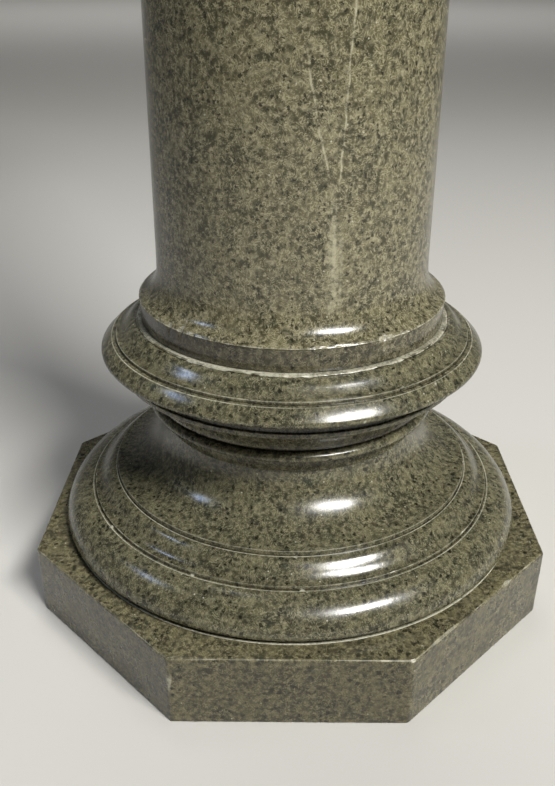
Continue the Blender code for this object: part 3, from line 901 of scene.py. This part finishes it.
def softbox(name, aim, azimuth, elevation, distance, size, watts, colour, spread):
    """A rectangular light that faces aim from a direction given in degrees right of -Y and above level."""
    azimuth, elevation = np.radians((azimuth, elevation))
    direction = Vector((cos(elevation) * sin(azimuth), -cos(elevation) * cos(azimuth), sin(elevation)))
    light = bpy.data.lights.new(name, "AREA")
    light.shape = "RECTANGLE"
    light.size, light.size_y = size
    light.energy = watts
    light.color = colour
    light.spread = radians(spread)
    lamp = bpy.data.objects.new(name, light)
    lamp.location = Vector(aim) + direction * distance
    lamp.rotation_euler = direction.to_track_quat("Z", "Y").to_euler()
    bpy.context.collection.objects.link(lamp)


def lights():
    """A key light from the right, a small bluish one from the left, one from above and behind, and four
    that wash the backdrop so that the polish has a pale room to reflect."""
    softbox("key_softbox", LIGHT_AIM, azimuth=41, elevation=47, distance=4.0, size=(1.45, 0.62), watts=55,
            colour=(1.0, 0.99, 0.96), spread=90)
    softbox("side_softbox", LIGHT_AIM, azimuth=-84, elevation=43, distance=1.5, size=(0.26, 0.14), watts=1.5,
            colour=(0.55, 0.7, 1.0), spread=180)
    softbox("back_softbox", LIGHT_AIM, azimuth=190, elevation=72, distance=4.0, size=(1.4, 1.4), watts=9,
            colour=WHITE, spread=90)
    for side, azimuth, watts in BACKDROP_LIGHTS:
        turned = radians(azimuth)
        away = (-BACKDROP_AIM_OUT * sin(turned), BACKDROP_AIM_OUT * cos(turned), BACKDROP_AIM_UP)
        softbox("backdrop_softbox_" + side, away, azimuth=azimuth, elevation=45, distance=5.3,
                size=(7.0, 1.0), watts=watts, colour=WHITE, spread=150)
    world = bpy.data.worlds.new("soft_room")
    world.use_nodes = True
    background = world.node_tree.nodes["Background"]
    background.inputs["Color"].default_value = linear("#D9D8D4")
    background.inputs["Strength"].default_value = 0.015
    bpy.context.scene.world = world


def camera():
    """The photo's camera: forward is (sin yaw cos pitch, cos yaw cos pitch, -sin pitch), then rolled."""
    forward = Vector((sin(CAMERA_YAW) * cos(CAMERA_PITCH), cos(CAMERA_YAW) * cos(CAMERA_PITCH),
                      -sin(CAMERA_PITCH)))
    level_right = Vector((cos(CAMERA_YAW), -sin(CAMERA_YAW), 0.0))
    level_up = level_right.cross(forward)
    right = cos(CAMERA_ROLL) * level_right + sin(CAMERA_ROLL) * level_up
    up = cos(CAMERA_ROLL) * level_up - sin(CAMERA_ROLL) * level_right
    lens = bpy.data.cameras.new("photo_camera")
    lens.sensor_fit = "VERTICAL"
    lens.sensor_height = SENSOR_HEIGHT
    lens.lens = FOCAL_LENGTH_PX * SENSOR_HEIGHT / PHOTO_HEIGHT_PX
    lens.shift_x = (PHOTO_WIDTH_PX / 2 - OPTICAL_AXIS_X_PX) / PHOTO_HEIGHT_PX
    lens.shift_y = (OPTICAL_AXIS_Y_PX - PHOTO_HEIGHT_PX / 2) / PHOTO_HEIGHT_PX
    lens.clip_start = 0.01
    eye = bpy.data.objects.new("photo_camera", lens)
    turn = Matrix((right, up, -forward)).transposed().to_4x4()
    eye.matrix_world = Matrix.Translation(Vector(CAMERA_PLACE) * MM) @ turn
    bpy.context.collection.objects.link(eye)
    bpy.context.scene.camera = eye


camera()
lights()
studio_floor()
plinth(serpentine("polished_serpentine_plinth", (0, 0, 0), dark="#333024", mid="#59543D", felt="#868062",
                  grain_space=3.6, mottle=0.65, polish=0.26))
neck = base(serpentine("polished_serpentine_base", (310, 40, 90)))
ledge = collar(serpentine("polished_serpentine_collar", (70, 510, 20), grain_space=3.0), neck)
head = shaft(serpentine("polished_serpentine_shaft", (800, 220, 400), dark="#3F3D2C", mid="#67624A",
                        felt="#9D977B", grain_space=2.4, mottle=0.4, veins=SHAFT_VEINS), ledge)
capital(serpentine("polished_serpentine_capital", (150, 640, 70)), head)
top_slab(serpentine("polished_serpentine_slab", (420, 130, 900), grain_space=3.9))
bpy.context.scene.view_settings.view_transform = "Standard"
